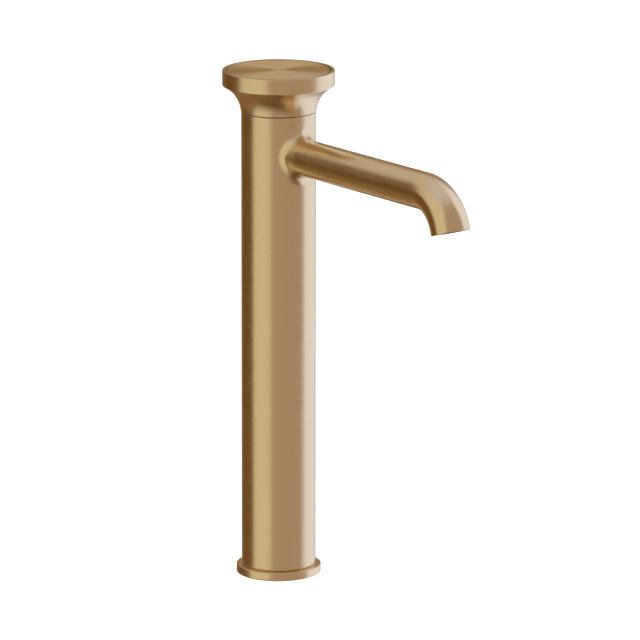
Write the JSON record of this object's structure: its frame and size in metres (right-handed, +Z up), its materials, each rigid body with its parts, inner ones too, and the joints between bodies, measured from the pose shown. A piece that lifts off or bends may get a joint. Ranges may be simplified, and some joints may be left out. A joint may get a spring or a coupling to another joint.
{
  "type": "tall basin mixer tap",
  "caption": "Tall round basin mixer tap in brushed brass, with a bent tube spout and a flared coaxial knob that turns to set flow and temperature.",
  "frame": {"origin": "on the column's axis, on the worktop plane that the base flange stands on", "axes": "+Z up the column; +X forwards along the spout, towards the user; +Y is the cold side, -Y the hot"},
  "size_m": [0.2168, 0.0682, 0.3142],
  "materials": {
    "brushed_brass": "satin",
    "spun_brass": "satin",
    "machined_brass": "satin",
    "copper_tube": "satin",
    "stainless_steel": "satin",
    "black_rubber": "matte",
    "alumina_ceramic": "satin",
    "black_polymer": "matte",
    "bronze_filled_ptfe": "matte",
    "white_polymer": "satin"
  },
  "bodies": {
    "body": {"base_flange": "brushed_brass", "base_gasket": "black_rubber", "base_block": "machined_brass", "tie_rod": "stainless_steel", "tie_washer": "stainless_steel", "tie_nut": "stainless_steel", "column": "brushed_brass", "spout_tube": "brushed_brass", "aerator_housing": "white_polymer", "aerator_grid": "white_polymer", "aerator_screen": "stainless_steel", "flow_regulator": "black_polymer", "aerator_gasket": "black_rubber", "valve_block": "machined_brass", "block_oring_lower": "black_rubber", "block_oring_upper": "black_rubber", "riser_cold": "copper_tube", "riser_hot": "copper_tube", "riser_seal_cold_lower": "black_rubber", "riser_seal_cold_upper": "black_rubber", "riser_seal_hot_lower": "black_rubber", "riser_seal_hot_upper": "black_rubber", "cartridge_base": "black_polymer", "inlet_seal_cold": "black_rubber", "inlet_seal_hot": "black_rubber", "fixed_disc": "alumina_ceramic", "stop_ring": "black_polymer", "cartridge_housing": "white_polymer", "housing_oring": "black_rubber", "cartridge_nut": "machined_brass", "glide_ring": "bronze_filled_ptfe"},
    "knob": {"moving_disc": "alumina_ceramic", "disc_driver": "black_polymer", "stem": "machined_brass", "stem_oring": "black_rubber", "stem_washer": "bronze_filled_ptfe", "spline_insert": "white_polymer", "knob": "brushed_brass", "knob_screw": "stainless_steel", "knob_washer": "stainless_steel", "cap_disc": "spun_brass", "cap_oring": "black_rubber"}
  },
  "joints": [
    {"name": "knob_turn", "type": "hinge", "parent": "body", "child": "knob", "pos_m": [0, 0, 0.289], "axis": [0, 0, 1], "range_deg": [0, 110]}
  ]
}
